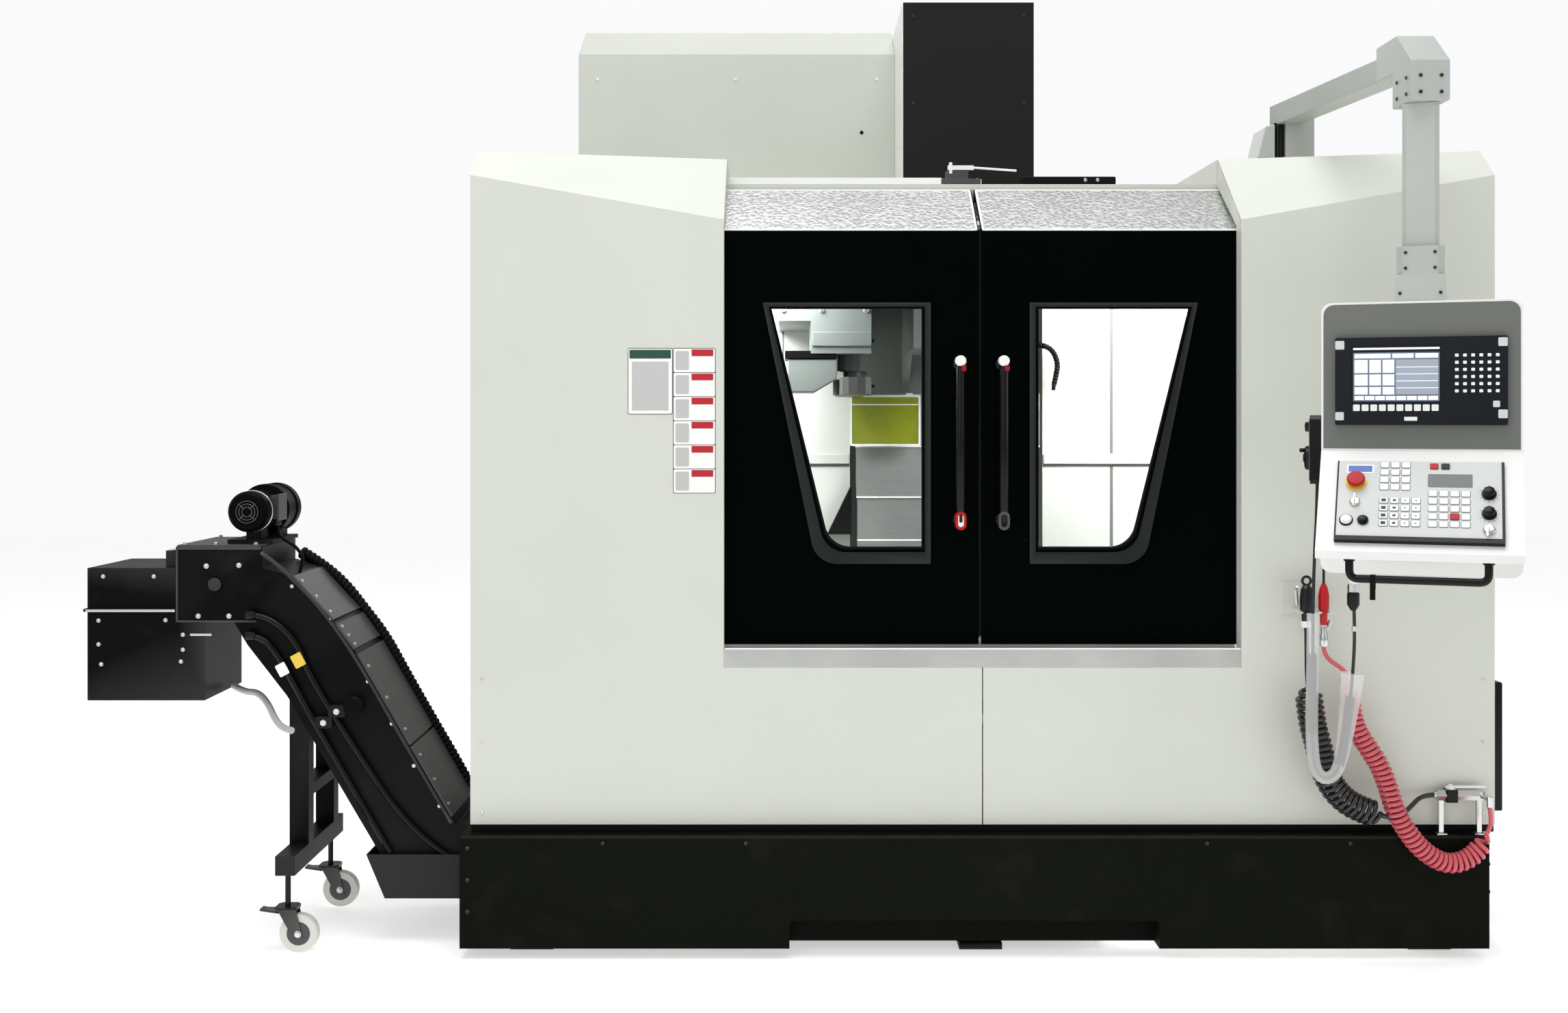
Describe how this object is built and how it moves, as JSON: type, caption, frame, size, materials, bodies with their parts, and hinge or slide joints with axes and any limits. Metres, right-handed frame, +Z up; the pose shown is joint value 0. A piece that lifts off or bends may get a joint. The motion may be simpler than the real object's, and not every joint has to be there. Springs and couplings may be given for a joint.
{
  "type": "cnc machining center",
  "caption": "Vertical machining center with sliding glazed doors, a side chip conveyor and a swivelling operator pendant.",
  "frame": {"origin": "on the floor, at the centre of the corner anchor holes of the levelling feet", "axes": "+Z up, -Y towards the operator at the doors, +X to the operator's right, towards the pendant"},
  "size_m": [3.652, 2.9556, 2.63],
  "materials": {
    "enclosure_white": "satin powder coat",
    "lining_white": "satin paint",
    "base_black": "textured powder coat",
    "door_black": "satin powder coat",
    "conveyor_black": "satin powder coat",
    "stainless": "brushed",
    "window_glass": "clear laminated",
    "handle_black": "satin",
    "machine_grey": "satin paint",
    "ground_steel": "ground",
    "tool_black": "black oxide",
    "wheel_white": "nylon",
    "pendant_shell": "satin powder coat",
    "panel_dark": "fine matt",
    "key_panel_light": "fine matt",
    "button_red": "gloss",
    "gun_black": "satin",
    "gun_red": "satin",
    "valve_metal": "satin",
    "hose_black": "smooth",
    "hose_red": "smooth"
  },
  "bodies": {
    "enclosure": {"air_gun": "gun_black", "air_hose": "hose_black", "arm_pivot": "enclosure_white", "base_pan": "base_black", "changer_housing": "machine_grey", "column": "machine_grey", "column_cover": "base_black", "conveyor_belt": "ground_steel", "conveyor_casing": "conveyor_black", "conveyor_stand": "conveyor_black", "coolant_gun": "gun_red", "coolant_hose": "hose_red", "coolant_tank": "conveyor_black", "discharge_hood": "conveyor_black", "door_sill": "stainless", "electrical_cabinet": "enclosure_white", "gear_motor": "conveyor_black", "left_front_panel": "enclosure_white", "left_side_panel": "enclosure_white", "levelling_feet": "ground_steel", "lower_way_cover": "stainless", "machine_bed": "machine_grey", "magazine_cover": "enclosure_white", "rear_panel": "enclosure_white", "right_front_panel": "enclosure_white", "right_side_panel": "enclosure_white", "roof_panel": "enclosure_white", "splash_lining": "lining_white", "valve_block": "valve_metal"},
    "left_door": {"left_door": "door_black", "left_window": "window_glass", "left_door_handle": "handle_black"},
    "right_door": {"right_door": "door_black", "right_window": "window_glass", "right_door_handle": "handle_black"},
    "cabinet_door": {"cabinet_door": "enclosure_white"},
    "saddle": {"saddle": "machine_grey"},
    "table": {"table": "ground_steel"},
    "head": {"spindle_head": "machine_grey", "upper_way_cover": "stainless"},
    "middle_cover": {"middle_way_cover": "stainless"},
    "spindle": {"spindle": "ground_steel"},
    "magazine": {"tool_magazine": "tool_black"},
    "change_arm": {"change_arm": "tool_black"},
    "conveyor_drive": {"conveyor_shaft": "ground_steel"},
    "front_fork": {"front_caster_fork": "tool_black"},
    "rear_fork": {"rear_caster_fork": "tool_black"},
    "front_wheel": {"front_caster_wheel": "wheel_white"},
    "rear_wheel": {"rear_caster_wheel": "wheel_white"},
    "support_arm": {"support_arm": "enclosure_white"},
    "pendant": {"pendant_post": "enclosure_white", "pendant_housing": "pendant_shell", "display_unit": "panel_dark", "operator_panel": "key_panel_light", "pendant_handle": "handle_black", "handwheel_box": "handle_black", "handwheel_cable": "hose_black"},
    "estop": {"estop_button": "button_red"},
    "hand_wheel": {"handwheel": "handle_black"},
    "valve_lever": {"valve_lever": "valve_metal"}
  },
  "joints": [
    {"name": "left_door_slide", "type": "slide", "parent": "enclosure", "child": "left_door", "axis": [-1, 0, 0], "range_m": [0, 0.56]},
    {"name": "right_door_slide", "type": "slide", "parent": "enclosure", "child": "right_door", "axis": [1, 0, 0], "range_m": [0, 0.56]},
    {"name": "cabinet_door_hinge", "type": "hinge", "parent": "enclosure", "child": "cabinet_door", "pos_m": [-0.62, 1.302, 1.175], "axis": [0, 0, 1], "range_deg": [0, 110]},
    {"name": "saddle_slide", "type": "slide", "parent": "enclosure", "child": "saddle", "axis": [0, 1, 0], "range_m": [-0.18, 0.18]},
    {"name": "table_slide", "type": "slide", "parent": "saddle", "child": "table", "axis": [1, 0, 0], "range_m": [-0.3, 0.3]},
    {"name": "head_slide", "type": "slide", "parent": "enclosure", "child": "head", "axis": [0, 0, 1], "range_m": [-0.3, 0]},
    {"name": "middle_cover_slide", "type": "slide", "parent": "enclosure", "child": "middle_cover", "axis": [0, 0, 1], "range_m": [-0.15, 0]},
    {"name": "spindle_spin", "type": "hinge", "parent": "head", "child": "spindle", "pos_m": [0, -0.45, 1.6], "axis": [0, 0, 1], "continuous": true},
    {"name": "magazine_spin", "type": "hinge", "parent": "enclosure", "child": "magazine", "pos_m": [-0.73, 0.25, 1.95], "axis": [0, 1, 0], "continuous": true},
    {"name": "change_arm_swing", "type": "hinge", "parent": "enclosure", "child": "change_arm", "pos_m": [-0.31, -0.45, 1.4475], "axis": [0, 0, 1], "range_deg": [0, 90]},
    {"name": "conveyor_drive_spin", "type": "hinge", "parent": "enclosure", "child": "conveyor_drive", "pos_m": [-1.988, -0.73, 0.9275], "axis": [0, 1, 0], "continuous": true},
    {"name": "front_caster_swivel", "type": "hinge", "parent": "enclosure", "child": "front_fork", "pos_m": [-1.77, -0.975, 0.15], "axis": [0, 0, 1], "continuous": true},
    {"name": "front_caster_roll", "type": "hinge", "parent": "front_fork", "child": "front_wheel", "pos_m": [-1.74, -0.975, 0.049], "axis": [0, 1, 0], "continuous": true},
    {"name": "rear_caster_swivel", "type": "hinge", "parent": "enclosure", "child": "rear_fork", "pos_m": [-1.77, -0.57, 0.15], "axis": [0, 0, 1], "continuous": true},
    {"name": "rear_caster_roll", "type": "hinge", "parent": "rear_fork", "child": "rear_wheel", "pos_m": [-1.74, -0.57, 0.049], "axis": [0, 1, 0], "continuous": true},
    {"name": "support_arm_swing", "type": "hinge", "parent": "enclosure", "child": "support_arm", "pos_m": [0.897, -0.52, 2.15], "axis": [0, 0, 1], "range_deg": [-10, 35]},
    {"name": "pendant_swivel", "type": "hinge", "parent": "support_arm", "child": "pendant", "pos_m": [0.985, -1.34, 2.1], "axis": [0, 0, 1], "range_deg": [-30, 30]},
    {"name": "estop_press", "type": "slide", "parent": "pendant", "child": "estop", "axis": [0.2937, 0.7269, -0.6208], "range_m": [0, 0.005], "stiffness_N_per_m": 1500, "springref_m": -0.004},
    {"name": "hand_wheel_turn", "type": "hinge", "parent": "pendant", "child": "hand_wheel", "pos_m": [0.75042, -1.24522, 1.266], "axis": [0.9272, -0.3746, 0], "continuous": true},
    {"name": "valve_lever_turn", "type": "hinge", "parent": "enclosure", "child": "valve_lever", "pos_m": [1.179, -1.021, 0.43], "axis": [0, 0, 1], "range_deg": [-90, 0]}
  ],
  "couplings": [
    {"joint": "middle_cover_slide", "follows": "head_slide", "ratio": 0.5}
  ]
}
